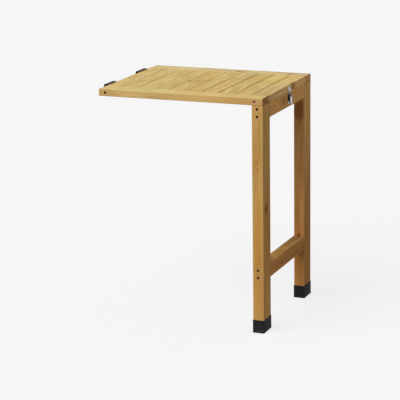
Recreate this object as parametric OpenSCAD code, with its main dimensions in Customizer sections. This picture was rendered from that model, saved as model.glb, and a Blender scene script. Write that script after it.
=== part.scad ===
/* [Top] */
// Length of the top, from the hook end to the leg end
top_l = 586; // [480:1:700]
// Depth of the top, from front to back
top_w = 488; // [440:1:600]
// Height of the top's surface above the floor
top_h = 800; // [640:1:900]
// Thickness of the front board, the back board and the two end slats
board_t = 24; // [22:1:32]
// Width of the front and back boards
board_w = 58; // [48:1:66]
// Number of slats between the boards
slat_n = 10; // [8:1:12]
// Gap between two slats
slat_gap = 2; // [1:0.5:4]
// Thickness of the inner slats
slat_t = 18; // [16:1:20]
// Length of the tongue at each end of a slat
tongue_l = 10; // [6:1:14]
// Thickness of the tongue
tongue_t = 8; // [6:1:9]
// Radius of the eased edges of every board
arris = 1.5; // [0.5:0.5:2.5]

/* [Leg frame] */
// Thickness of the legs and rails, along the length of the top
leg_t = 38; // [34:1:46]
// Width of a leg, front to back
leg_w = 70; // [60:1:80]
// Height of the two rails
rail_h = 50; // [44:1:60]
// Height of the lower rail's underside above the floor
low_rail_z = 180; // [120:1:260]

/* [Foot caps] */
// Height of a foot cap
cap_h = 45; // [30:1:60]
// Wall of a foot cap
cap_wall = 2; // [1.5:0.25:3]
// Thickness of the cap's floor, under the leg
cap_floor = 3; // [2:0.5:5]

/* [Hooks] */
// Width of a hook, front to back
hook_w = 66; // [40:1:68]
// Thickness of the hook's steel
hook_t = 2; // [1.5:0.25:3]
// Width of the slot that takes the rim
rim_slot = 14; // [8:1:20]
// Height of the hook's top above the table's surface
hook_rise = 1; // [0:0.5:3]
// Height of the hook's lip, from its top to its free edge
hook_lip = 26; // [18:1:28]
// Distance of a hook's middle from the inner edge of its board
hook_in = 54.5; // [36:0.5:86]
// Length of the hook's flange under the top
hook_flange = 30; // [24:1:36]
// Distance of a hook's screws from its side edges
hook_screw_in = 13; // [8:1:14]

/* [Hinges] */
// Length of a hinge, front to back
hinge_l = 60; // [50:1:80]
// Reach of a leaf from the pin's axis
leaf_reach = 14; // [12.5:0.5:14.5]
// Thickness of a leaf
leaf_t = 1.6; // [1.2:0.1:2]
// Diameter of the hinge pin
pin_d = 4; // [3:0.5:5]
// Distance of a hinge's middle from the inner face of its leg
hinge_in = 64; // [54:1:104]
// Distance of a leaf's outer screws from its ends
leaf_screw_in = 9; // [6:0.5:10]

/* [Latch] */
// Distance of the latch behind the middle of the table
latch_y = 14; // [-60:1:60]
// Thickness of the latch's sheet steel
sheet = 1.2; // [1:0.1:1.5]
// Width of the base plate
base_w = 24; // [22:1:30]
// Height of the base plate
base_h = 35; // [33:1:38]
// Drop of the base plate's top edge below the top's underside
base_drop = 4; // [3:0.5:6]
// Distance of the lever's pivot from the face that the latch is on
pivot_out = 4.6; // [4.5:0.1:5.4]
// Distance of the lever's pivot below the base plate's top edge
pivot_down = 8; // [7:0.5:10]
// Length of the lever below its pivot
lever_l = 27; // [24:1:28]
// Tilt of the closed lever away from the face
lever_tilt = 5; // [3:0.5:8]
// Height of the lever's crown
crown = 1.2; // [0.6:0.2:2]
// Distance between the lever's pivot and the bail's
bail_throw = 8; // [7:0.5:9]
// Offset of the bail's pivot behind the lever's, which keeps the latch closed
over_centre = 0.3; // [0.1:0.1:0.6]
// Diameter of the bail's wire
wire_d = 2; // [1.6:0.1:2.2]
// Diameter of the pivot rivets
rivet_d = 3; // [2.5:0.25:3.5]
// Width of the keeper plate
keeper_w = 20; // [18:0.5:24]
// Distance of the keeper's top edge below the table's surface
keeper_in = 5; // [4:0.5:6]
// Height of the keeper's tab above the top's underside
tab_z = 6; // [5:0.5:8]
// Length of the keeper's tab, out from the face
tab_l = 7.4; // [6:0.2:8]
// Width of the keeper's tab
tab_w = 12; // [8:1:14]
// Upward tilt of the tab, which keeps the bail on it
tab_rise = 6; // [0:1:8]

/* [Screws] */
// Diameter of the long screws in the boards and legs
long_d = 5; // [4:0.5:6]
// Diameter of the long screws' heads
long_head_d = 9; // [7:0.5:10]
// Height of the long screws' heads
long_head_h = 4; // [3:0.5:6]
// Depth of a long screw's head below the wood
sink = 7; // [3:0.5:8]
// Length of the top's long screws
top_screw_l = 80; // [72:1:86]
// Length of the leg frame's long screws
frame_screw_l = 100; // [90:1:110]
// Distance of the top's screws from the hook end
hook_end_screw = 24; // [20:1:36]
// Distance of the top's screws from the leg end
leg_end_screw = 29; // [20:1:36]
// Distance of a rail's screws from its top and bottom edges
rail_screw_in = 12.5; // [10:0.5:15]
// Diameter of the small screws
small_d = 3.4; // [2.8:0.1:3.6]
// Diameter of the small screws' heads
small_head_d = 6.4; // [5.6:0.2:6.6]
// Length of the small screws
small_l = 14; // [10:1:16]

/* [Clearances] */
// Side play between a tongue and its groove
groove_play = 0.1; // [0.05:0.05:0.3]
// Radial play of a turning pivot
turn_play = 0.05; // [0.02:0.01:0.08]
// Gap between faces that pass each other
pass_gap = 0.3; // [0.2:0.05:0.5]
// Gap between the bail's bar and the keeper's tab
bar_gap = 0.2; // [0.15:0.05:0.3]

/* [Hidden] */
fine = 48;
wire_fine = 24;
bite = 0.5;
under_z = top_h - board_t;
// latch: radius of the ears and flanges round the pivot, outer face of the lever's web, and its thumb lip
flange_r = pivot_out - sheet - pass_gap;
web_out = 2.8;
tip_lip = 0.8;
// the object is centred over the origin, with the hooks standing out at one end and the latch at the other
hook_reach = 2 * hook_t + rim_slot;
hook_y = top_w / 2 - board_w - hook_in;
latch_reach = pivot_out + (web_out + crown + tip_lip) * cos(lever_tilt) + lever_l * sin(lever_tilt);
left_x = (hook_reach - top_l - latch_reach) / 2;
right_x = left_x + top_l;
// leg frame
frame_inner_x = right_x - leg_t;
frame_mid_x = right_x - leg_t / 2;
leg_inner_y = top_w / 2 - leg_w;
hinge_y = leg_inner_y - hinge_in;
// the hinge pin lies in the corner between the top's underside and the rail's inner face
knuckle_r = pin_d / 2 + leaf_t;
knuckle_n = 5;
knuckle_l = hinge_l / knuckle_n;
pin_off = knuckle_r + pass_gap;
pin_x = frame_inner_x - pin_off;
pin_z = under_z - pin_off;
pin_end = 0.5;
leaf_screw_out = (knuckle_r + leaf_reach) / 2;
// slats: the end ones are just wide enough for the legs and the hinges, and the rest share what is left
leaf_margin = 1.1;
end_slat_w = leg_t + pin_off + leaf_reach + leaf_margin;
inner_slat_w = (top_l - 2 * end_slat_w - (slat_n - 1) * slat_gap) / (slat_n - 2);
between_boards = top_w - 2 * board_w;
tongue_z = top_h - (slat_t + tongue_t) / 2;
// latch: heights of the base plate, the pivots, the keeper and the bail's bar
base_top_z = under_z - base_drop;
base_z = base_top_z - base_h;
pivot_z = base_top_z - pivot_down;
bail_x = pivot_out - over_centre;
bail_z = pivot_z - bail_throw;
tab_top_z = under_z + tab_z;
bar_z = tab_top_z + (bail_x - sheet / 2) * tan(tab_rise) + (wire_d / 2 + bar_gap) / cos(tab_rise);
keeper_top_z = top_h - keeper_in;
screw_edge = 1.2;
keeper_screw_y = (keeper_w - small_head_d) / 2 - screw_edge;
keeper_screw_z = keeper_top_z - small_head_d / 2 - screw_edge;
base_screw_z = base_z + small_head_d / 2 + 2 * screw_edge;
base_screw_pitch = 9;
// latch: its layers, outwards from its middle: ears, lever's flanges, rivet heads, bail
ear_in = 5;
flange_in = ear_in + sheet + pass_gap;
flange_out = flange_in + sheet;
rivet_head = 0.4;
bail_half = flange_out + turn_play + rivet_head + pass_gap + wire_d / 2;

SLATS = [for (i = [1 : slat_n]) str("slat_", i)];

// outline of a board's section with its four edges rounded, corner by corner
function eased_outline(w, h, r, steps = 3) = [
    for (corner = [0 : 3]) for (i = [0 : steps])
        let (
            cx = (corner == 0 || corner == 3) ? w - r : r,
            cy = (corner < 2) ? h - r : r,
            a = 90 * corner + 90 * i / steps
        ) [cx + r * cos(a), cy + r * sin(a)]
];

// a board along X, with its lowest corner at the origin and all its edges eased
module board_x(l, w, h) {
    intersection() {
        rotate([90, 0, 90]) linear_extrude(l) polygon(eased_outline(w, h, arris));
        linear_extrude(h) polygon(eased_outline(l, w, arris));
        translate([0, w, 0]) rotate([90, 0, 0]) linear_extrude(w) polygon(eased_outline(l, h, arris));
    }
}

// a board along Y, with square ends
module board_y(l, w, h) {
    translate([w, 0, 0])
        rotate([90, 0, 180])
            linear_extrude(l)
                polygon(eased_outline(w, h, arris));
}

// a board along Z, with square ends
module board_z(l, w, h) {
    linear_extrude(l) polygon(eased_outline(w, h, arris));
}

// points along an arc, for the bends and rounded corners of sheet metal
function bend(cx, cy, r, from, to, steps = 6) = [
    for (i = [0 : steps]) let (a = from + (to - from) * i / steps) [cx + r * cos(a), cy + r * sin(a)]
];

module both_sides() {
    children();
    mirror([0, 1, 0]) children();
}

// a long screw along -Z, with the top of its head in the plane z = 0
module long_screw(l) {
    socket_d = long_head_d / 2;
    difference() {
        union() {
            translate([0, 0, -long_head_h]) cylinder(h = long_head_h, d = long_head_d, $fn = fine);
            translate([0, 0, -l]) cylinder(h = l - long_head_h, d = long_d, $fn = fine);
        }
        // hexagon socket
        translate([0, 0, -long_head_h / 2]) cylinder(h = long_head_h, d = socket_d, $fn = 6);
    }
}

// the hole that a long screw lies in, with its counterbore up to the wood's face
module long_hole(l) {
    translate([0, 0, -l]) cylinder(h = l, d = long_d, $fn = fine);
    translate([0, 0, -long_head_h])
        cylinder(h = long_head_h + sink + bite, d = long_head_d + 2 * pass_gap, $fn = fine);
}

// a countersunk screw along -Z, with its flat head in the plane z = 0
module small_screw() {
    recess_w = small_d / 4;
    recess_h = small_head_d / 5;
    difference() {
        small_hole();
        // cross recess
        for (a = [0, 90])
            rotate(a)
                translate([-small_d / 2, -recess_w / 2, -recess_h])
                    cube([small_d, recess_w, recess_h + bite]);
    }
}

// the hole that a small screw fills
module small_hole() {
    sunk = (small_head_d - small_d) / 2;
    translate([0, 0, -sunk]) cylinder(h = sunk, d1 = small_d, d2 = small_head_d, $fn = fine);
    translate([0, 0, small_d - small_l]) cylinder(h = small_l - small_d - sunk, d = small_d, $fn = fine);
    translate([0, 0, -small_l]) cylinder(h = small_d, d1 = small_d / 4, d2 = small_d, $fn = fine);
}

// places of the screws, each a module that turns its child into place
module at_top_screws() {
    both_sides()
        for (x = [left_x + hook_end_screw, right_x - leg_end_screw])
            translate([x, sink - top_w / 2, top_h - board_t / 2]) rotate([90, 0, 0]) children();
}

module at_frame_screws() {
    both_sides()
        for (rail = [low_rail_z, under_z - rail_h], z = [rail_screw_in, rail_h - rail_screw_in])
            translate([frame_mid_x, sink - top_w / 2, rail + z]) rotate([90, 0, 0]) children();
}

module at_hook_screws() {
    spread = hook_w / 2 - hook_screw_in;
    for (hook = [-hook_y, hook_y], y = [-spread, spread])
        translate([left_x + (hook_flange + hook_t) / 2, hook + y, under_z - hook_t])
            rotate([180, 0, 0]) children();
}

module at_hinges(places = [-hinge_y, hinge_y]) {
    for (y = places)
        translate([pin_x, y, pin_z]) children();
}

// along a leaf: one screw in the middle and one near each end
module at_leaf_screws() {
    spread = hinge_l / 2 - leaf_screw_in;
    for (y = [-spread, 0, spread])
        translate([-leaf_screw_out, y, pin_off - leaf_t]) rotate([180, 0, 0]) children();
}

module at_hinge_top_screws() {
    at_hinges() at_leaf_screws() children();
}

module at_hinge_rail_screws() {
    at_hinges() mirror([1, 0, -1]) at_leaf_screws() children();
}

module at_keeper_screws() {
    for (y = [-keeper_screw_y, keeper_screw_y])
        translate([right_x + sheet, latch_y + y, keeper_screw_z]) rotate([0, 90, 0]) children();
}

module at_latch_screws() {
    for (z = [base_screw_z, base_screw_z + base_screw_pitch])
        translate([right_x + sheet, latch_y, z]) rotate([0, 90, 0]) children();
}

// top
module front_board() {
    color("burlywood")
        difference() {
            translate([left_x, -top_w / 2, under_z]) board_x(top_l, board_w, board_t);
            translate([left_x - bite, board_w - top_w / 2 - tongue_l - groove_play, tongue_z - groove_play])
                cube([top_l + 2 * bite, tongue_l + groove_play + bite, tongue_t + 2 * groove_play]);
            at_top_screws() long_hole(top_screw_l);
        }
}

module back_board() {
    mirror([0, 1, 0]) front_board();
}

module slat(i) {
    end = i == 1 || i == slat_n;
    t = end ? board_t : slat_t;
    w = end ? end_slat_w : inner_slat_w;
    x = i == 1 ? 0 : end_slat_w + slat_gap + (i - 2) * (inner_slat_w + slat_gap);
    color("tan")
        difference() {
            translate([left_x + x, 0, 0]) {
                translate([0, -between_boards / 2, top_h - t]) board_y(between_boards, w, t);
                translate([0, -between_boards / 2 - tongue_l, tongue_z])
                    cube([w, between_boards + 2 * tongue_l, tongue_t]);
            }
            if (end) {
                at_top_screws() long_hole(top_screw_l);
                at_hook_screws() small_hole();
                at_hinge_top_screws() small_hole();
                at_keeper_screws() small_hole();
            }
        }
}

module top_screws() {
    color("dimgray") at_top_screws() long_screw(top_screw_l);
}

// hook: a strip of steel that runs under the top, up its end, over the rim and down behind it
module hook() {
    r_in = 1.5;
    r_out = r_in + hook_t;
    corner = 6;
    rise = board_t + hook_rise + hook_t;
    outline = concat(
        [[hook_flange, -rise], [hook_flange, -rise + hook_t]],
        bend(arris, -rise + hook_t + arris, arris, 270, 180, 3),
        bend(-r_out, -r_out, r_out, 0, 90),
        bend(-hook_reach + r_out, -r_out, r_out, 90, 180),
        [[-hook_reach, -hook_lip], [-hook_reach + hook_t, -hook_lip]],
        bend(-hook_reach + r_out, -r_out, r_in, 180, 90),
        bend(-r_out, -r_out, r_in, 90, 0),
        bend(arris, -rise + hook_t + arris, arris + hook_t, 180, 270)
    );
    translate([left_x, 0, top_h + hook_rise])
        difference() {
            rotate([90, 0, 0]) linear_extrude(hook_w, center = true) polygon(outline);
            both_sides() {
                // rounded corners of the lip
                translate([-hook_reach - bite, 0, 0])
                    rotate([90, 0, 90])
                        linear_extrude(hook_t + 2 * bite) corner_cut(hook_w / 2, -hook_lip, corner);
                // rounded corners of the flange
                translate([0, 0, -rise - bite])
                    linear_extrude(hook_t + 2 * bite)
                        rotate(90) corner_cut(hook_w / 2, -hook_flange, corner);
            }
        }
}

// what rounds off the lower right corner, at (x, y), of a plate's outline
module corner_cut(x, y, r) {
    polygon(concat(
        [[x + bite, y + r], [x + bite, y - bite], [x - r, y - bite]],
        bend(x - r, y + r, r, -90, 0)
    ));
}

module front_hook() {
    color("#202020")
        difference() {
            translate([0, -hook_y, 0]) hook();
            at_hook_screws() small_hole();
        }
}

module back_hook() {
    color("#202020")
        difference() {
            translate([0, hook_y, 0]) hook();
            at_hook_screws() small_hole();
        }
}

module hook_screws() {
    color("#303030") at_hook_screws() small_screw();
}

// leg frame
module front_leg() {
    color("peru")
        difference() {
            translate([frame_inner_x, -top_w / 2, cap_floor]) board_z(under_z - cap_floor, leg_t, leg_w);
            at_frame_screws() long_hole(frame_screw_l);
        }
}

module back_leg() {
    mirror([0, 1, 0]) front_leg();
}

module rail(z) {
    color("peru")
        difference() {
            translate([frame_inner_x, -leg_inner_y, z]) board_y(2 * leg_inner_y, leg_t, rail_h);
            at_frame_screws() long_hole(frame_screw_l);
            at_hinge_rail_screws() small_hole();
            at_latch_screws() small_hole();
        }
}

module frame_screws() {
    color("dimgray") at_frame_screws() long_screw(frame_screw_l);
}

// foot cap: a plastic shoe with softened edges
module foot_cap() {
    w = leg_t + 2 * cap_wall;
    l = leg_w + 2 * cap_wall;
    edge = 1.2;
    corner = arris + cap_wall;
    color("#252525")
        translate([frame_mid_x - w / 2, -top_w / 2 - cap_wall, 0])
            difference() {
                intersection() {
                    linear_extrude(cap_h) polygon(eased_outline(w, l, corner, 5));
                    translate([0, l, 0])
                        rotate([90, 0, 0]) linear_extrude(l) polygon(eased_outline(w, cap_h, edge));
                    rotate([90, 0, 90]) linear_extrude(w) polygon(eased_outline(l, cap_h, edge));
                }
                translate([cap_wall, cap_wall, cap_floor]) board_z(cap_h, leg_t, leg_w);
            }
}

module back_foot_cap() {
    mirror([0, 1, 0]) foot_cap();
}

// butt hinges: three knuckles on the top's leaf, two on the rail's, around one pin
module leaf(own, bore) {
    difference() {
        union() {
            leaf_flat(own);
            for (i = [own : 2 : knuckle_n - 1])
                translate([0, i * knuckle_l - hinge_l / 2 + pass_gap / 2, 0])
                    rotate([-90, 0, 0]) cylinder(h = knuckle_l - pass_gap, r = knuckle_r, $fn = fine);
        }
        rotate([90, 0, 0]) cylinder(h = 2 * hinge_l, r = bore, center = true, $fn = fine);
        at_leaf_screws() small_hole();
    }
}

// the flat of a leaf, which lies towards -X from the pin, notched where the other leaf's knuckles turn
module leaf_flat(own) {
    corner = 2;
    difference() {
        translate([-leaf_reach, -hinge_l / 2, pin_off - leaf_t])
            linear_extrude(leaf_t)
                polygon(concat(
                    [[leaf_reach, 0], [leaf_reach, hinge_l]],
                    bend(corner, hinge_l - corner, corner, 90, 180),
                    bend(corner, corner, corner, 180, 270)
                ));
        for (i = [1 - own : 2 : knuckle_n - 1])
            translate([-pin_off, i * knuckle_l - hinge_l / 2 - pass_gap / 2, -bite])
                cube([pin_off + bite, knuckle_l + pass_gap, pin_off + 2 * bite]);
    }
}

module hinge_top_leaf(y) {
    color("silver") at_hinges([y]) leaf(0, pin_d / 2);
}

module hinge_rail_leaf(y) {
    color("silver") at_hinges([y]) mirror([1, 0, -1]) leaf(1, pin_d / 2 + turn_play);
}

module hinge_pin(y) {
    color("gray")
        at_hinges([y])
            rotate([90, 0, 0]) cylinder(h = hinge_l + 2 * pin_end, d = pin_d, center = true, $fn = fine);
}

module hinge_top_screws() {
    color("silver") at_hinge_top_screws() small_screw();
}

module hinge_rail_screws() {
    color("silver") at_hinge_rail_screws() small_screw();
}

// toggle latch: in this frame X points out of the leg end, and Y = 0 is the latch's middle
module at_latch() {
    translate([right_x, latch_y, 0]) children();
}

// a plate that stands on the face, with rounded corners
module plate(w, z0, z1) {
    corner = 2.5;
    translate([0, -w / 2, z0])
        rotate([90, 0, 90])
            linear_extrude(sheet) polygon(eased_outline(w, z1 - z0, corner, 4));
}

module at_pivot() {
    translate([pivot_out, 0, pivot_z]) children();
}

// a round bar or hole across the latch
module across(d) {
    rotate([90, 0, 0]) cylinder(h = 2 * base_w, d = d, center = true, $fn = fine);
}

module latch_keeper() {
    corner = 2;
    color("gainsboro")
        difference() {
            at_latch() {
                plate(keeper_w, tab_top_z - sheet, keeper_top_z);
                // tab, bent out and a little up
                translate([sheet / 2, -tab_w / 2, tab_top_z])
                    rotate([0, -tab_rise, 0])
                        translate([0, 0, -sheet])
                            linear_extrude(sheet)
                                polygon(concat(
                                    [[0, tab_w], [0, 0]],
                                    bend(tab_l - corner, corner, corner, -90, 0),
                                    bend(tab_l - corner, tab_w - corner, corner, 0, 90)
                                ));
            }
            at_keeper_screws() small_hole();
        }
}

module keeper_screws() {
    color("silver") at_keeper_screws() small_screw();
}

// base plate: its two ears are bent out of the window between them
module latch_base() {
    color("silver")
        difference() {
            at_latch() {
                plate(base_w, base_z, base_top_z);
                both_sides()
                    translate([0, ear_in, pivot_z]) {
                        translate([0, 0, -flange_r]) cube([pivot_out, sheet, 2 * flange_r]);
                        translate([pivot_out, 0, 0]) rotate([-90, 0, 0])
                            cylinder(h = sheet, r = flange_r, $fn = fine);
                    }
            }
            at_latch() {
                at_pivot() across(rivet_d);
                translate([-bite, -ear_in, pivot_z - flange_r])
                    cube([sheet + 2 * bite, 2 * ear_in, 2 * flange_r]);
            }
            at_latch_screws() small_hole();
        }
}

// rivets: each runs through an ear and a flange, with a head at both ends
module latch_rivets() {
    out = flange_out + turn_play;
    head_rim = 0.7;
    color("gray")
        at_latch()
            both_sides()
                at_pivot()
                    rotate([-90, 0, 0]) {
                        translate([0, 0, ear_in]) cylinder(h = out - ear_in, d = rivet_d, $fn = fine);
                        for (head = [ear_in - rivet_head, out])
                            translate([0, 0, head])
                                cylinder(h = rivet_head, d = rivet_d + 2 * head_rim, $fn = fine);
                    }
}

module latch_screws() {
    color("silver") at_latch_screws() small_screw();
}

// lever: a crowned web with a flange at each side, in a frame that is tilted with it
module latch_lever() {
    web_top = -flange_r - sheet / 3;
    crown_r = (flange_out * flange_out + crown * crown) / (2 * crown);
    crown_x = web_out + crown - crown_r;
    outer_a = asin(flange_out / crown_r);
    inner_a = asin(flange_in / (crown_r - sheet));
    lip_a = asin(flange_in / (crown_r + tip_lip));
    web = concat(
        bend(crown_x, 0, crown_r, -outer_a, outer_a, 10),
        bend(crown_x, 0, crown_r - sheet, inner_a, -inner_a, 10)
    );
    // seen from the side: round about the pivot, full depth past the bail's hole, tapered to the lip
    flange = concat(
        bend(0, 0, flange_r, 180, -30, 14),
        [[web_out, web_top], [web_out, -lever_l], [web_out / 2, -lever_l],
         [-flange_r, -bail_throw - 2 * wire_d]]
    );
    lip = concat(
        [[web_out - sheet / 2, -flange_in]],
        bend(crown_x, 0, crown_r + tip_lip, -lip_a, lip_a, 10),
        [[web_out - sheet / 2, flange_in]]
    );
    color("lightgray")
        at_latch()
            at_pivot()
                difference() {
                    rotate([0, -lever_tilt, 0]) {
                        translate([0, 0, -lever_l]) linear_extrude(lever_l + web_top) polygon(web);
                        translate([0, 0, -lever_l]) linear_extrude(sheet) polygon(lip);
                        both_sides()
                            translate([0, flange_out, 0])
                                rotate([90, 0, 0]) linear_extrude(sheet) polygon(flange);
                    }
                    across(rivet_d + 2 * turn_play);
                    translate([-over_centre, 0, -bail_throw]) across(wire_d + 2 * turn_play);
                }
}

// bail: one wire, from a hole in the lever up around the keeper's tab and back
module latch_bail() {
    foot = 1.6;
    shoulder = 3;
    foot_in = flange_in - pass_gap / 2;
    color("silver")
        at_latch()
            both_sides()
                translate([bail_x, 0, 0]) {
                    translate([0, foot_in, bail_z])
                        rotate([-90, 0, 0]) wire(bail_half - foot - foot_in);
                    translate([0, bail_half - foot, bail_z + foot])
                        rotate([0, 90, 0]) wire_bend(foot);
                    translate([0, bail_half, bail_z + foot])
                        wire(bar_z - shoulder - bail_z - foot);
                    translate([0, bail_half - shoulder, bar_z - shoulder])
                        rotate([0, -90, 0]) mirror([0, 0, 1]) wire_bend(shoulder);
                    translate([0, 0, bar_z])
                        rotate([-90, 0, 0]) wire(bail_half - shoulder);
                }
}

module wire(l) {
    cylinder(h = l, d = wire_d, $fn = wire_fine);
}

// a quarter turn of the wire
module wire_bend(r) {
    rotate_extrude(angle = 90, $fn = wire_fine) translate([r, 0]) circle(d = wire_d, $fn = wire_fine);
}

front_board();
back_board();
for (i = [1 : slat_n])
    slat(i);
top_screws();
front_hook();
back_hook();
hook_screws();
latch_keeper();
keeper_screws();
hinge_top_leaf(-hinge_y);  // front_hinge_top_leaf
hinge_top_leaf(hinge_y);  // back_hinge_top_leaf
hinge_pin(-hinge_y);  // front_hinge_pin
hinge_pin(hinge_y);  // back_hinge_pin
hinge_top_screws();
front_leg();
back_leg();
rail(under_z - rail_h);  // top_rail
rail(low_rail_z);  // lower_rail
frame_screws();
foot_cap();  // front_foot_cap
back_foot_cap();
hinge_rail_leaf(-hinge_y);  // front_hinge_rail_leaf
hinge_rail_leaf(hinge_y);  // back_hinge_rail_leaf
hinge_rail_screws();
latch_base();
latch_rivets();
latch_screws();
latch_lever();
latch_bail();
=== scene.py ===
import math

import bpy
import numpy as np
from mathutils import Matrix, Vector


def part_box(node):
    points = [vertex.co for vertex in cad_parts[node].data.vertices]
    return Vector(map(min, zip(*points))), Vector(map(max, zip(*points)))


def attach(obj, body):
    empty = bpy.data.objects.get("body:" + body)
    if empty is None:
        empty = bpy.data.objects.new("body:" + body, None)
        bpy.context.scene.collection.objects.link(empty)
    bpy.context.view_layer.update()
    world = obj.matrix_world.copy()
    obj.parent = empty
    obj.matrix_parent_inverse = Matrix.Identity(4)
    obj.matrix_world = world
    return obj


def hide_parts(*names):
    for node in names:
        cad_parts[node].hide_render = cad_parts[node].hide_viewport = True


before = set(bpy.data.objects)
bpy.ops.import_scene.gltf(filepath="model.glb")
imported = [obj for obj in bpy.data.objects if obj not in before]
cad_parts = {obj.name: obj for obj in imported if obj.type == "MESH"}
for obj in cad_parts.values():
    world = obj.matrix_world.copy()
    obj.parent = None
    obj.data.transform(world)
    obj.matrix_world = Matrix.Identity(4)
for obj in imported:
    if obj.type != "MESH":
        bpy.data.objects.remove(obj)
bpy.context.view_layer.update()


# Where the table was seen from: a long lens a little above it, from the front and to the right of the
# leg end, turned less than a degree about its own line of sight.
MM = 0.001
look_from = Vector((2198.0, -5414.7, 1862.3)) * MM
heading, pitch, roll = (math.radians(a) for a in (22.349, 14.236, 0.885))
focal_px, frame_px, film_mm = 1730.1, 400, 36

ahead = Vector((-math.sin(heading) * math.cos(pitch), math.cos(heading) * math.cos(pitch), -math.sin(pitch)))
level = Vector((math.cos(heading), math.sin(heading), 0))
below = ahead.cross(level)
image_right = level * math.cos(roll) + below * math.sin(roll)
image_down = below * math.cos(roll) - level * math.sin(roll)
turn = Matrix((image_right, -image_down, -ahead)).transposed().to_4x4()

camera = bpy.data.objects.new("camera", bpy.data.cameras.new("camera"))
bpy.context.scene.collection.objects.link(camera)
camera.matrix_world = Matrix.Translation(look_from) @ turn
camera.data.sensor_width = film_mm
camera.data.lens = focal_px / frame_px * film_mm
camera.data.clip_end = 100
bpy.context.scene.camera = camera


# The ground that it stands on, and the light: a pale studio floor, a soft key light from the upper left
# in front of the table, and an even sky. The floor shows pale to the camera and in reflections, with the
# table's shadow on it, and throws back only as much light as matt paper would.
def add(tree, kind, inputs=(), **settings):
    """A node of this kind. Inputs is a list in order, or a dict by name or number: an output or a whole
    node (its first output) is linked to the socket, and anything else is set on it."""
    made = tree.nodes.new("ShaderNode" + kind)
    for key, value in settings.items():
        setattr(made, key, value)
    for key, value in inputs.items() if isinstance(inputs, dict) else enumerate(inputs):
        if isinstance(value, bpy.types.Node):
            value = value.outputs[0]
        if isinstance(value, bpy.types.NodeSocket):
            tree.links.new(value, made.inputs[key])
        else:
            made.inputs[key].default_value = value
    return made


def linear(hex_colour):
    """An sRGB hex colour as linear values: c / 12.92 below 0.04045, else ((c + 0.055) / 1.055) ^ 2.4."""
    srgb = np.array([int(hex_colour[i:i + 2], 16) for i in (0, 2, 4)]) / 255
    values = np.where(srgb <= 0.04045, srgb / 12.92, ((srgb + 0.055) / 1.055) ** 2.4)
    return (*values.tolist(), 1.0)


def blank(name):
    """A new material with an empty node tree and its output node."""
    material = bpy.data.materials.new(name)
    material.use_nodes = True
    material.node_tree.nodes.clear()
    return material, material.node_tree, material.node_tree.nodes.new("ShaderNodeOutputMaterial")


def seen(tree):
    """1 for a ray from the camera, off a glossy surface or through a clear one, and 0 for any other."""
    path = add(tree, "LightPath")
    direct = add(tree, "Math", [path.outputs["Is Camera Ray"], path.outputs["Is Glossy Ray"]],
                 operation="MAXIMUM")
    return add(tree, "Math", [direct, path.outputs["Is Transmission Ray"]], operation="MAXIMUM")


pale = linear("F6F6F6")
paper_grey = linear("8C8C8C")
shadow_share = 0.16

floor_material, tree, output = blank("matt_studio_paper")
shown = add(tree, "MixShader", [shadow_share, add(tree, "Emission", [pale, 1.0]),
                                add(tree, "BsdfDiffuse", [pale])])
paper = add(tree, "MixShader", [seen(tree), add(tree, "BsdfDiffuse", [paper_grey]), shown])
tree.links.new(paper.outputs[0], output.inputs[0])

half = 30.0
corners = [(-half, -half, 0), (half, -half, 0), (half, half, 0), (-half, half, 0)]
floor_mesh = bpy.data.meshes.new("floor")
floor_mesh.from_pydata(corners, [], [(0, 1, 2, 3)])
floor_mesh.materials.append(floor_material)
floor = bpy.data.objects.new("floor", floor_mesh)
bpy.context.scene.collection.objects.link(floor)

sky_level = 0.45
world = bpy.data.worlds.new("even_sky")
bpy.context.scene.world = world
world.use_nodes = True
tree = world.node_tree
tree.nodes.clear()
sky = add(tree, "MixShader", [seen(tree), add(tree, "Background", [(1, 1, 1, 1), sky_level]),
                              add(tree, "Background", [pale, 1.0])])
tree.links.new(sky.outputs[0], tree.nodes.new("ShaderNodeOutputWorld").inputs[0])

towards_light = Vector((-0.335, -0.60, 0.72)).normalized()
key_strength = 2.4
key_spread = math.radians(50)
key = bpy.data.objects.new("key", bpy.data.lights.new("key", "SUN"))
key.data.energy = key_strength
key.data.angle = key_spread
key.matrix_world = towards_light.to_track_quat("Z", "Y").to_matrix().to_4x4()
bpy.context.scene.collection.objects.link(key)

bpy.context.scene.view_settings.view_transform = "Standard"


# The boards of the top: two long fir boards, grooved along their inner edges, and ten slats tongued into
# them. They are sawn from fast-grown fir, planed, eased along every edge and dipped in a honey-coloured
# oil, so the growth rings show as pale and brown bands that no two boards share.
def patches(tree, place, size, shift=(0, 0, 0)):
    """Where place lies in a pattern whose patches have this size (mm) along its three axes: place / size,
    moved by shift so that no two pieces look alike."""
    per_metre = tuple(1 / (s * MM) for s in size)
    return add(tree, "VectorMath", [place, per_metre, shift], operation="MULTIPLY_ADD")


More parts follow.
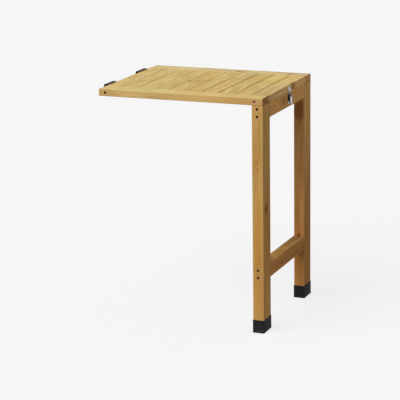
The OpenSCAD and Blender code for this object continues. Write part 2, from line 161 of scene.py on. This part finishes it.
def knotted(tree, local, radius, knots):
    """Puts knots among growth rings whose distance from the pith is radius. Each knot is its place and its
    radii along the board's own axes (m), and the depth of its brown. Its reach is the distance from its
    place, in radii, with a ragged edge: its heart is dark up to 0.95 and gone at 1.5, and the wood round it
    is red up to 0.9 and plain at 3. A stain is a knot of little depth, for the heart's share is depth ^ 2.
    Gives the radius, raised where the rings swerve round a knot, and the shares of heart and of red."""
    heart_share = red_share = 0.0
    for place, radii, depth in knots:
        away = add(tree, "VectorMath", [local, place], operation="SUBTRACT")
        scaled = add(tree, "VectorMath", [away, radii], operation="DIVIDE")
        ragged = add(tree, "TexNoise", {"Vector": scaled, "Scale": 1.7, "Detail": 3.0})
        distance = add(tree, "VectorMath", [scaled], operation="LENGTH").outputs["Value"]
        reach = add(tree, "Math", [ragged, 0.7, distance], operation="MULTIPLY_ADD")
        red = add(tree, "MapRange", [reach, 0.9, 3.0, depth, 0.0], interpolation_type="SMOOTHSTEP")
        dark = add(tree, "MapRange", [reach, 0.95, 1.5, depth ** 2, 0.0], interpolation_type="SMOOTHSTEP")
        swerve = min(1.6 * min(radii), 16 * MM)
        radius = add(tree, "Math", [red, swerve, radius], operation="MULTIPLY_ADD")
        heart_share = add(tree, "Math", [dark, heart_share], operation="MAXIMUM")
        red_share = add(tree, "Math", [red, red_share], operation="MAXIMUM")
    return radius, heart_share, red_share


def near_bore(tree, place, x, z, full, gone, share):
    """Share up to full mm from the line at x and z (mm) that runs front to back, and 0 from gone mm on."""
    away = add(tree, "VectorMath", [place, (x * MM, 0, z * MM)], operation="SUBTRACT")
    flat = add(tree, "VectorMath", [away, (1, 0, 1)], operation="MULTIPLY")
    distance = add(tree, "VectorMath", [flat], operation="LENGTH").outputs["Value"]
    return add(tree, "MapRange", [distance, full * MM, gone * MM, share, 0.0])


def bored(tree, place, wood, bores, hole_r=4.8):
    """The colour wood, marked by screw holes of radius hole_r (mm) that run front to back. Each bore is its
    x and z (mm) and how dark its wall is: partly oil that the cut fibres drink, partly painted shade in
    the hole. The pale mark below and beside its mouth is a painted highlight where its rim catches light."""
    soaked_and_shaded = painted_rim_highlight = 0.0
    for x, z, wall_darkness in bores:
        wall = near_bore(tree, place, x, z, hole_r + 0.15, hole_r + 0.8, wall_darkness)
        lit_rim = near_bore(tree, place, x + 1.4, z - 0.9, hole_r + 0.8, hole_r + 2.2, 0.5)
        soaked_and_shaded = add(tree, "Math", [wall, soaked_and_shaded], operation="MAXIMUM")
        painted_rim_highlight = add(tree, "Math", [lit_rim, painted_rim_highlight], operation="MAXIMUM")
    mouthed = add(tree, "MixRGB", [painted_rim_highlight, wood, linear("E2BE98")])
    return add(tree, "MixRGB", [soaked_and_shaded, mouthed, linear("96602F")])


def ended_and_eased(tree, local, half_size, wood, end, edge):
    """The colour wood, mixed with end over the last millimetre at both ends, where the end grain drinks more
    of the oil, and with edge along the eased edges, a painted highlight where it is pale and painted shade
    where it is dark. A place is at such an edge where the sum of its distances from the middle across the
    grain comes within 3 mm of the board's own."""
    depth = add(tree, "SeparateXYZ", [add(tree, "VectorMath", [local], operation="ABSOLUTE")])
    length, side = half_size[0], half_size[1] + half_size[2]
    at_end = add(tree, "MapRange", [depth.outputs[0], length - 1.2 * MM, length - 0.4 * MM, 0.0, 0.5])
    ended = add(tree, "MixRGB", [at_end, wood, linear(end)])
    across = add(tree, "Math", [depth.outputs[1], depth.outputs[2]], operation="ADD")
    eased = add(tree, "MapRange", [across, side - 3.2 * MM, side - 1.0 * MM, 0.0, 0.3])
    return add(tree, "MixRGB", [eased, ended, linear(edge)])


def tinted_up_with_painted_sheen(tree, local, shift, wood, tints):
    """The colour wood, multiplied on faces that look up by a mottle of the two tints, in patches as long as
    a finger and as wide as a thumb. The tints are partly the wood's own weathering, which has taken some of
    its red, and partly painted sheen, the pale veil that the sky leaves on an upward face seen at a glance."""
    facing_up = add(tree, "SeparateXYZ", [add(tree, "TexCoord").outputs["Normal"]]).outputs["Z"]
    upward = add(tree, "MapRange", [facing_up, 0.5, 0.95, 0.0, 1.0])
    mottle = add(tree, "TexNoise", {"Vector": patches(tree, local, (71, 26, 26), shift), "Scale": 1.0,
                                    "Detail": 3.0})
    share = add(tree, "MapRange", [mottle, 0.36, 0.64, 0.0, 1.0])
    tint = add(tree, "MixRGB", [share, *((*values, 1) for values in tints)])
    return add(tree, "MixRGB", [upward, wood, tint], blend_type="MULTIPLY")


def oiled_fir(piece, along, oil, seed, pith, tilt=(0.02, 0.03), heart=(0.0, 0.0), knots=(), bores=(),
              top_tints_with_painted_sheen=((0.92, 1.005, 1.09), (1.06, 1.19, 1.49)), edge="E0C68E", end="7C401C"):
    """Planed fir with a thin coat of oil, its mean colour the hex value oil and its grain along axis number
    along. The growth rings are shells round the tree's pith, a line that runs near the board: pith is its
    distance (mm) from the board's middle and tilt its slope, which opens the rings into arches on a flat
    face. Place in ring = fraction of (distance from the pith, with a slow wander, / ring width): pale early
    wood that darkens to a thin brown line of late wood. Heart is the share of brown heartwood at the
    board's low and high end. Knots has the place, the radii along X, Y and Z and the depth of each knot,
    stain or patch of painted shade (mm), bores the screw holes, and the tints are the two of what faces
    up, part weathering and part painted sheen. Edge and end are the colours of the eased edges, a painted
    highlight or shade, and of the end grain."""
    low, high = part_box(piece)
    order = [along, *(a for a in range(3) if a != along)]
    middle = (low + high) / 2
    half_size = [(high[a] - low[a]) / 2 for a in order]
    rng = np.random.default_rng(seed)
    ring = rng.uniform(3.6, 5.2) * MM
    shift = tuple(rng.uniform(-50, 50, 3).tolist())
    mean = np.array(linear(oil)[:3])
    early, late_brown, warm = ((*(mean * share), 1)
                               for share in ((1.1, 1.12, 1.16), (0.6, 0.48, 0.38), (0.96, 0.8, 0.6)))

    material, tree, output = blank(f"oiled_fir_{piece}")
    place = add(tree, "TexCoord").outputs["Object"]
    xyz = add(tree, "SeparateXYZ", [add(tree, "VectorMath", [place, tuple(middle)], operation="SUBTRACT")])
    local = add(tree, "CombineXYZ", [xyz.outputs[a] for a in order])

    # slow wander of the grain to either side, a few millimetres in a hand's length
    wander_at = patches(tree, local, (417, 100, 100), shift)
    wander = add(tree, "TexNoise", {"Vector": wander_at, "Scale": 1.0, "Detail": 2.0})
    most = 13 * MM
    offset = add(tree, "VectorMath", [wander.outputs["Color"], (0, 2 * most, 2 * most), (0, -most, -most)],
                 operation="MULTIPLY_ADD")
    bent = add(tree, "VectorMath", [local, offset], operation="ADD")

    # distance from the pith, which knots raise
    slope = add(tree, "VectorMath", {0: (0, *tilt), "Scale": xyz.outputs[along]}, operation="SCALE")
    pith_line = add(tree, "VectorMath", [slope, (0, pith[0] * MM, pith[1] * MM)], operation="ADD")
    from_pith = add(tree, "VectorMath", [bent, pith_line], operation="SUBTRACT")
    spokes = add(tree, "VectorMath", [from_pith, (0, 1, 1)], operation="MULTIPLY")
    radius = add(tree, "VectorMath", [spokes], operation="LENGTH").outputs["Value"]
    radius, knot_heart, knot_red = knotted(tree, local, radius, [
        (tuple(at[a] * MM - middle[a] for a in order), tuple(radii[a] * MM for a in order), depth)
        for at, radii, depth in knots])

    # place in the ring, 0 where a year's growth starts and 1 where it ends
    uneven = add(tree, "TexNoise", {"Vector": wander_at, "Scale": 7.0, "Detail": 3.0})
    years = add(tree, "Math", [radius, 1 / ring], operation="MULTIPLY")
    jagged = add(tree, "Math", [uneven, 1.1, years], operation="MULTIPLY_ADD")
    late = add(tree, "ValToRGB", [add(tree, "Math", [jagged], operation="FRACT")])
    stops = late.color_ramp.elements
    stops.remove(stops[1])
    for position, grey in ((0.5, 0.2), (0.82, 0.75), (0.92, 1.0), (0.985, 0.25)):
        stops.new(position).color = (grey, grey, grey, 1)

    # fibres about 1 mm thick and a few centimetres long, drawn as coarse as the render can show
    fibre = add(tree, "TexNoise", {"Vector": patches(tree, bent, (45, 1, 1), shift), "Scale": 1.0,
                                   "Detail": 3.0, "Roughness": 0.6})
    streak = add(tree, "TexNoise", {"Vector": patches(tree, bent, (200, 17, 17), shift), "Scale": 1.0,
                                    "Detail": 2.0})
    drift = add(tree, "TexNoise", {"Vector": wander_at, "Scale": 1.3, "Detail": 1.0})

    streaked = add(tree, "MapRange", [streak, 0.3, 0.72, -0.25, 0.4])
    ringed = add(tree, "Math", [late, 0.34, streaked], operation="MULTIPLY_ADD")
    heart_share = add(tree, "MapRange", [xyz.outputs[along], -half_size[0], half_size[0], *heart])
    brown_share = add(tree, "Math", [ringed, heart_share], operation="ADD", use_clamp=True)
    grain = add(tree, "MixRGB", [brown_share, early, late_brown])
    warmed = add(tree, "MixRGB", [add(tree, "MapRange", [drift, 0.38, 0.7, 0.0, 0.5]), grain, warm])
    fibre_light = add(tree, "MapRange", [fibre, 0.25, 0.75, 0.9, 1.08])
    fibred = add(tree, "VectorMath", {0: warmed, "Scale": fibre_light}, operation="SCALE")
    red_share = add(tree, "Math", [knot_red, 0.7], operation="MULTIPLY")
    reddened = add(tree, "MixRGB", [red_share, fibred, linear("B0682E")])
    hearted = add(tree, "MixRGB", [knot_heart, reddened, linear("5E3014")])
    worn = ended_and_eased(tree, local, half_size, bored(tree, place, hearted, bores), end, edge)

    relief = add(tree, "Math", [late, 0.6, fibre.outputs[0]], operation="MULTIPLY_ADD")
    surface = add(tree, "BsdfPrincipled", {
        "Base Color": tinted_up_with_painted_sheen(tree, local, shift, worn, top_tints_with_painted_sheen),
        "Roughness": add(tree, "MapRange", [fibre, 0.2, 0.8, 0.5, 0.64]),
        "Specular IOR Level": 0.02,
        "Normal": add(tree, "Bump", {"Height": relief, "Strength": 0.5, "Distance": 0.12 * MM}),
    })
    tree.links.new(surface.outputs[0], output.inputs[0])
    return material


def dress(piece, material):
    """Gives a piece of the model its finish."""
    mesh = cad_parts[piece].data
    mesh.materials.clear()
    mesh.materials.append(material)


X, Y, Z = 0, 1, 2
low, high = (np.array(corner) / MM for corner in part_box("top_screws"))
head_r, screw_z = (high[Z] - low[Z]) / 2, (low[Z] + high[Z]) / 2
# each bore's third number darkens its wall: partly oil in the cut fibres, partly painted shade in the hole
top_bores = [(low[X] + head_r, screw_z, 0.8), (high[X] - head_r, screw_z, 0.0)]
# dark stains at the leg end, each shared by a board and the slat that it meets there
front_joint = [((296, -188, 798), (8, 8, 2.5), 0.6), ((296, -182, 777), (8, 9, 2.5), 0.6)]
back_joint = [((296, 193, 796), (8, 7, 3), 0.75), ((296, 200, 777), (8, 9, 2.5), 0.65)]
dress("front_board", oiled_fir("front_board", X, "D9B878", 11, (60, -46), heart=(0.0, 0.06), knots=[
    *front_joint,
    ((-265, -244, 788), (45, 3, 20), 0.32),
    ((255, -244, 788), (85, 3, 20), 0.26),
    ((296, -216, 789), (2.5, 26, 14), 0.33),
    ((296, -210, 787), (8, 8, 3), 0.6),
    ((296, -238, 777), (8, 9, 3), 0.45),
], bores=top_bores, top_tints_with_painted_sheen=((0.873, 0.965, 0.92), (1.005, 1.145, 1.28))))
dress("back_board", oiled_fir("back_board", X, "D0AF70", 12, (-48, -60), heart=(-0.15, 0.2), knots=[
    *back_joint,
    ((41, 208, 800), (9, 7, 9), 0.75),
    ((65, 198, 800), (7, 5, 9), 0.6),
    ((233, 212, 800), (9, 7, 9), 0.7),
    ((296, 244, 796), (8, 5, 5), 0.9),
    ((296, 242, 780), (8, 4, 4), 0.6),
], bores=top_bores, top_tints_with_painted_sheen=((0.89, 1.01, 1.14), (1.03, 1.19, 1.59)), end="DC9460"))
# the slats towards the hooks have pale edges, a painted highlight, and those towards the legs dark ones,
# painted shade in the gaps between them
painted_highlight_edge, painted_shade_edge = "E0C68E", "6E4E22"
slat_oils = ("D0AF69", "CCAE68", "D1B06B", "CCAB64", "CCAA61", "CCAC66", "CDAC66", "CBAA63", "CEAE65")
slat_knots = {
    1: [
        ((-262, 0, 800), (12, 24, 9), 0.2),
        # the two dark strips at the hook end, under the hooks' edges, are the hooks' painted shadow
        ((-289, -131.5, 799), (3.4, 35, 5), 1.0),
        ((-289, 131.5, 799), (3.4, 35, 5), 1.0),
    ],
    4: [((-57, -5, 800), (4, 7, 6), 1.0)],
    5: [((-54, -5, 800), (2.2, 6, 6), 1.0), ((-18, -12, 800), (16, 22, 9), 0.32)],
    6: [((10, 0, 800), (10, 20, 9), 0.25)],
}
for number, oil in enumerate(slat_oils, start=1):
    piece = f"slat_{number}"
    rng = np.random.default_rng(20 + number)
    pith = rng.uniform((-30, -70), (30, -25))
    tilt = rng.uniform(-0.05, 0.05, 2)
    dress(piece, oiled_fir(piece, Y, oil, 30 + number, pith, tilt, knots=slat_knots.get(number, ()),
                           edge=painted_highlight_edge if number < 6 else painted_shade_edge))
# the slat at the leg end is of paler wood, tinted darker on its top face
dress("slat_10", oiled_fir("slat_10", Y, "E4B777", 40, (12, -48), (0.02, -0.03), (0.3, -0.5), knots=[
    *front_joint,
    *back_joint,
    ((296, 57, 789), (12, 14, 15), 0.65),
], top_tints_with_painted_sheen=((0.70, 0.83, 0.76), (0.80, 0.975, 1.045)), edge=painted_shade_edge))


# The long screws of the top and of the leg frame: hardened steel with a hexagon socket, dulled by oil and
# browned by the first rust, and sunk below the wood, so that little but the dark of the hole is seen.
steel, tree, output = blank("oil_dulled_steel")
place = add(tree, "TexCoord").outputs["Object"]
grit = add(tree, "TexNoise", {"Vector": place, "Scale": 1 / (1.1 * MM), "Detail": 2.0})
surface = add(tree, "BsdfPrincipled", {
    "Base Color": add(tree, "MixRGB", [grit, linear("7C4A22"), linear("B48450")]),
    "Metallic": 0.75,
    "Roughness": add(tree, "MapRange", [grit, 0.3, 0.7, 0.4, 0.6]),
})
tree.links.new(surface.outputs[0], output.inputs[0])
for piece in ("top_screws", "frame_screws"):
    dress(piece, steel)


# The two hooks: flat steel bent to run under the top, up its end and out into an open hook, and held by
# black countersunk screws from below. Blasted and powder coated satin black, which leaves an orange peel
# of about 2 mm and a low sheen, with a little dust on it.
powder_coat, tree, output = blank("black_powder_coated_steel")
place = add(tree, "TexCoord").outputs["Object"]
orange_peel = add(tree, "TexNoise", {"Vector": place, "Scale": 1 / (2.4 * MM), "Detail": 2.0})
dust = add(tree, "TexNoise", {"Vector": place, "Scale": 1 / (17 * MM), "Detail": 4.0})
dusty = add(tree, "MapRange", [dust, 0.4, 0.8, 0.0, 0.6])
surface = add(tree, "BsdfPrincipled", {
    "Base Color": add(tree, "MixRGB", [dusty, linear("0E0E0F"), linear("242526")]),
    "Roughness": add(tree, "MapRange", [dust, 0.3, 0.7, 0.45, 0.6]),
    "Specular IOR Level": 0.14,
    "Normal": add(tree, "Bump", {"Height": orange_peel, "Strength": 0.4, "Distance": 0.06 * MM}),
})
tree.links.new(surface.outputs[0], output.inputs[0])
for piece in ("front_hook", "back_hook", "hook_screws"):
    dress(piece, powder_coat)


# The leg frame: legs and rails of the same fir, the legs' grain upright, butted and held by pairs of long
# screws driven through the legs into the rails' ends.
low, high = (np.array(corner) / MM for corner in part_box("frame_screws"))
head_r, screw_x, pair_pitch = (high[X] - low[X]) / 2, (low[X] + high[X]) / 2, 25
lowest, highest = low[Z] + head_r, high[Z] - head_r
# the legs' bore walls are darkened the same way, partly painted shade in the holes
leg_bores = [(screw_x, z, 0.92) for z in (highest, highest - pair_pitch, lowest + pair_pitch, lowest)]
dress("front_leg", oiled_fir("front_leg", Z, "CA9F5B", 51, (-70, 20), (0.03, 0.02), knots=[
    ((296, -214, 424), (9, 11, 17), 0.85),
    ((296, -205, 330), (5, 24, 110), 0.35),
    # the faint red over the whole outer side is a warm tint painted into its shade, for light bounced there
    ((296, -209, 360), (2, 60, 220), 0.24),
    ((276, -244, 205), (40, 3, 70), 0.22),
    ((273, -244, 586), (3.6, 5, 4.4), 0.5),
    ((275, -244, 562), (3.6, 5, 3.6), 0.5),
], bores=leg_bores))
dress("back_leg", oiled_fir("back_leg", Z, "D3A163", 52, (-55, -60), (-0.04, 0.03), (1.15, -0.2), knots=[
    ((276, 174, 233), (5, 5, 7), 0.9),
    # the dark red patch high on the inner face is painted shade under the top and the top rail
    ((278, 170, 680), (24, 9, 42), 0.7),
    ((296, 208, 330), (2.5, 40, 150), 0.28),
    ((275, 174, 420), (20, 3, 110), 0.15),
], bores=leg_bores))
dress("top_rail", oiled_fir("top_rail", Y, "DAA45F", 53, (-50, 30), (0.03, -0.02), (0.1, -0.5), knots=[
    ((296, -38, 752), (8, 20, 12), 0.5),
]))
dress("lower_rail", oiled_fir("lower_rail", Y, "BF874C", 54, (-60, -35), (0.02, 0.04), (-0.12, 0.32), knots=[
    ((277, 120, 230), (8, 14, 5), 0.5),
    ((282, 160, 230), (5, 9, 5), 0.7),
], top_tints_with_painted_sheen=((0.59, 0.755, 0.59), (0.86, 1.03, 1.01))))


# The foot caps: soft black polyethylene, moulded with a spark-eroded texture, which leaves it matt, and
# pushed over the legs. The wall is drawn in a little between a band at the sole and a lip at the rim, as
# the mould's core needs, and the ground has made the lowest centimetre dusty.
def skin(name, rings, material):
    """A closed piece: ring i of the grid rings[i, j] (mm) joins to ring i + 1 by quads, each ring closes on
    itself, and the first and last ring are filled. Rings that run anticlockwise seen from the last ring
    back to the first one give faces that point outwards."""
    n, m, _ = rings.shape
    i, j = np.meshgrid(np.arange(n - 1), np.arange(m), indexing="ij")
    start, following = i * m + j, i * m + (j + 1) % m
    quads = np.stack([start, following, following + m, start + m], axis=-1).reshape(-1, 4)
    ends = [list(range(m))[::-1], list(range((n - 1) * m, n * m))]
    mesh = bpy.data.meshes.new(name)
    mesh.from_pydata((rings.reshape(-1, 3) * MM).tolist(), [], quads.tolist() + ends)
    mesh.shade_smooth()
    mesh.set_sharp_from_angle(angle=math.radians(40))
    mesh.materials.append(material)
    made = bpy.data.objects.new(name, mesh)
    bpy.context.scene.collection.objects.link(made)
    return made


def foot_cap_rings(centre, half_x, half_y, height, wall, foot_z, sole_r=2.0, rim_r=0.8, drawn_in=0.45,
                   leg_edge_r=1.5):
    """The cap's skin from its sole, up the outside, over the rim and down inside to the leg's foot at foot_z.
    Each ring is a rectangle with rounded corners, drawn in by inset at the height z. The sole's edge is a
    quarter circle, inset = r * (1 - sin a) and z = r * (1 - cos a), and the rim's is the same upside down."""
    quarter = np.radians(np.linspace(0, 90, 7))
    rounding = np.stack([1 - np.sin(quarter), 1 - np.cos(quarter)], axis=-1)
    outside = [(0, 6.5), (0.2, 7.2), (drawn_in, 8.5),
               (drawn_in, height - 6), (0.2, height - 4.8), (0, height - 4)]
    rim = (0, height) + rim_r * rounding[::-1] * (1, -1)
    inset, z = np.concatenate([sole_r * rounding, outside, rim, [(wall, height), (wall, foot_z)]]).T
    corner_r = np.maximum(leg_edge_r + wall - inset, leg_edge_r)[:, None, None]
    turn = np.radians(90 * np.arange(4)[:, None] + np.linspace(0, 90, 7))
    side = np.array([(1, 1), (-1, 1), (-1, -1), (1, -1)])
    x = side[:, 0, None] * (half_x - inset[:, None, None] - corner_r) + corner_r * np.cos(turn)
    y = side[:, 1, None] * (half_y - inset[:, None, None] - corner_r) + corner_r * np.sin(turn)
    rings = np.stack([x, y, np.broadcast_to(z[:, None, None], x.shape)], axis=-1)
    return rings.reshape(len(z), -1, 3) + np.array([centre[0], centre[1], 0])


# the texture is a few tenths of a millimetre wide, and is drawn as coarse as the render can show
plastic, tree, output = blank("black_moulded_polyethylene")
place = add(tree, "TexCoord").outputs["Object"]
texture = add(tree, "TexNoise", {"Vector": place, "Scale": 1 / (1.4 * MM), "Detail": 3.0})
scuff = add(tree, "TexNoise", {"Vector": place, "Scale": 1 / (29 * MM), "Detail": 5.0})
height_up = add(tree, "SeparateXYZ", [place]).outputs[Z]
dusty = add(tree, "MapRange", [height_up, 0, 12 * MM, 0.35, 0.0])
scuffed = add(tree, "Math", [add(tree, "MapRange", [scuff, 0.45, 0.75, 0.0, 0.7]), dusty], operation="ADD")
surface = add(tree, "BsdfPrincipled", {
    "Base Color": add(tree, "MixRGB", [scuffed, linear("222222"), linear("3A3938")]),
    "Roughness": add(tree, "MapRange", [scuff, 0.3, 0.7, 0.6, 0.75]),
    "Specular IOR Level": 0.08,
    "Normal": add(tree, "Bump", {"Height": texture, "Strength": 0.5, "Distance": 0.08 * MM}),
})
tree.links.new(surface.outputs[0], output.inputs[0])
for end in ("front", "back"):
    low, high = (np.array(corner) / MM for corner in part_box(f"{end}_foot_cap"))
    leg_low = np.array(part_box(f"{end}_leg")[0]) / MM
    half_x, half_y = (high - low)[:2] / 2
    rings = foot_cap_rings((low + high) / 2, half_x, half_y, high[Z], leg_low[X] - low[X], leg_low[Z])
    cap = skin(f"{end}_moulded_cap", rings, plastic)
    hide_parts(f"{end}_foot_cap")
    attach(cap, "leg_frame")


# The hinges and the latch: stamped and bent steel sheet and wire, plated with zinc. Outdoors the plating
# has gone blotchy, and their screws dark with grime. The latch's lever is bright only on the faces that
# look out along X, and its base only there and below the lever's foot: the rest is painted shade and dark
# reflections, with the lever's painted shadow on the base.
def zinc_plate(name, unshaded_from=-2.0, unshaded_heights=(0, 1000)):
    """Zinc plating: rolling lines, drawn 1 mm apart so that the render can show them, and cloudy patches a
    few millimetres wide, dark grey, and bright where the face's outward direction along X is above the
    first number and its height (mm) is between the two heights. The dark grey is grime on the screws, and
    painted shade and dark reflections on the latch and the bail. At -2 every face counts as bright, and
    at 2 none does."""
    material, tree, output = blank(name)
    coordinates = add(tree, "TexCoord")
    place = coordinates.outputs["Object"]
    rolled = add(tree, "TexNoise", {"Vector": patches(tree, place, (1, 1, 17)), "Scale": 1.0, "Detail": 2.0})
    clouds = add(tree, "TexNoise", {"Vector": place, "Scale": 1 / (6 * MM), "Detail": 3.0})
    outward = add(tree, "SeparateXYZ", [coordinates.outputs["Normal"]]).outputs[X]
    height_up = add(tree, "SeparateXYZ", [place]).outputs[Z]
    bright = add(tree, "MapRange", [outward, unshaded_from, unshaded_from + 0.3, 0.0, 1.0])
    for height, shares in zip(unshaded_heights, ((0.0, 1.0), (1.0, 0.0))):
        within = add(tree, "MapRange", [height_up, (height - 2) * MM, (height + 2) * MM, *shares])
        bright = add(tree, "Math", [bright, within], operation="MULTIPLY")
    patchy = add(tree, "MapRange", [clouds, 0.3, 0.7, 0.0, 1.0])
    dark_zinc = add(tree, "MixRGB", [patchy, linear("3C4240"), linear("5A6160")])
    bright_zinc = add(tree, "MixRGB", [patchy, linear("DADCDE"), linear("A5A9AD")])
    surface = add(tree, "BsdfPrincipled", {
        "Base Color": add(tree, "MixRGB", [bright, dark_zinc, bright_zinc]),
        "Metallic": 1.0,
        "Roughness": add(tree, "MapRange", [clouds, 0.3, 0.7, 0.22, 0.4]),
        "Normal": add(tree, "Bump", {"Height": rolled, "Strength": 0.3, "Distance": 0.03 * MM}),
    })
    tree.links.new(surface.outputs[0], output.inputs[0])
    return material


bright_plate = zinc_plate("bright_zinc_plated_steel")
grimy_plate = zinc_plate("grimy_zinc_plated_steel", 2.0)
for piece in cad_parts:
    if piece.startswith(("latch", "keeper")) or "hinge" in piece:
        dress(piece, grimy_plate if piece.endswith("screws") else bright_plate)
# the lever: painted shade and dark reflections on its flanks and on every face not looking out along X
dress("latch_lever", zinc_plate("zinc_plated_steel_with_painted_shade", 0.55))
# the base: the lever's painted shadow above 742 mm, and painted shade on its flanks
dress("latch_base", zinc_plate("zinc_plated_steel_with_painted_lever_shadow", 0.55, (0, 742)))


# The bail: one length of hard 2 mm wire, bent in at both feet to turn in the lever, and over the top to a bar
# that the keeper's tab holds. Its legs are dark grey, painted shade, and only the bar, which the tab rubs, is
# bright.
def bail_rings(low, high, foot_in, foot_bend=1.6, bar_bend=3.0, wire=1.0, sides=16):
    """A circle of radius wire carried along the bail's line, which stands upright in the middle of the box
    from low to high (mm): out from the foot's end, foot_in from the middle, round a bend of foot_bend, up,
    round a bend of bar_bend, in to half a millimetre from the middle, and the mirror image of all that back
    down. Each circle lies in the plane of X and of the line's own normal."""
    middle, half = (low + high) / 2, (high[Y] - low[Y]) / 2 - wire
    foot_z, bar_z = low[Z] + wire, high[Z] - wire
    low_turn, high_turn = np.radians(np.linspace(90, 0, 8)), np.radians(np.linspace(0, 90, 10))
    y = np.concatenate([[foot_in], half - foot_bend + foot_bend * np.cos(low_turn),
                        half - bar_bend + bar_bend * np.cos(high_turn), [0.5]])
    z = np.concatenate([[foot_z], foot_z + foot_bend - foot_bend * np.sin(low_turn),
                        bar_z - bar_bend + bar_bend * np.sin(high_turn), [bar_z]])
    line = np.stack([np.concatenate([y, -y[::-1]]) + middle[Y], np.concatenate([z, z[::-1]])], axis=-1)
    along = np.gradient(line, axis=0)
    along /= np.linalg.norm(along, axis=1, keepdims=True)
    across = np.stack([along[:, 1], -along[:, 0]], axis=-1)
    angle = np.linspace(0, 2 * np.pi, sides, endpoint=False)
    x = np.broadcast_to(middle[X] + wire * np.cos(angle), (len(line), sides))
    yz = line[:, None, :] + wire * np.sin(angle)[None, :, None] * across[:, None, :]
    return np.concatenate([x[..., None], yz], axis=-1)


low, high = (np.array(corner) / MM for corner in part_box("latch_bail"))
foot_in = 6.35
# bright zinc on the bar only, painted shade on the legs
wire_zinc_with_painted_shade = zinc_plate("zinc_plated_wire_with_painted_shade", unshaded_heights=(775, 1000))
bail = skin("bent_wire_bail", bail_rings(low, high, foot_in), wire_zinc_with_painted_shade)
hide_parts("latch_bail")
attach(bail, "latch_bail")
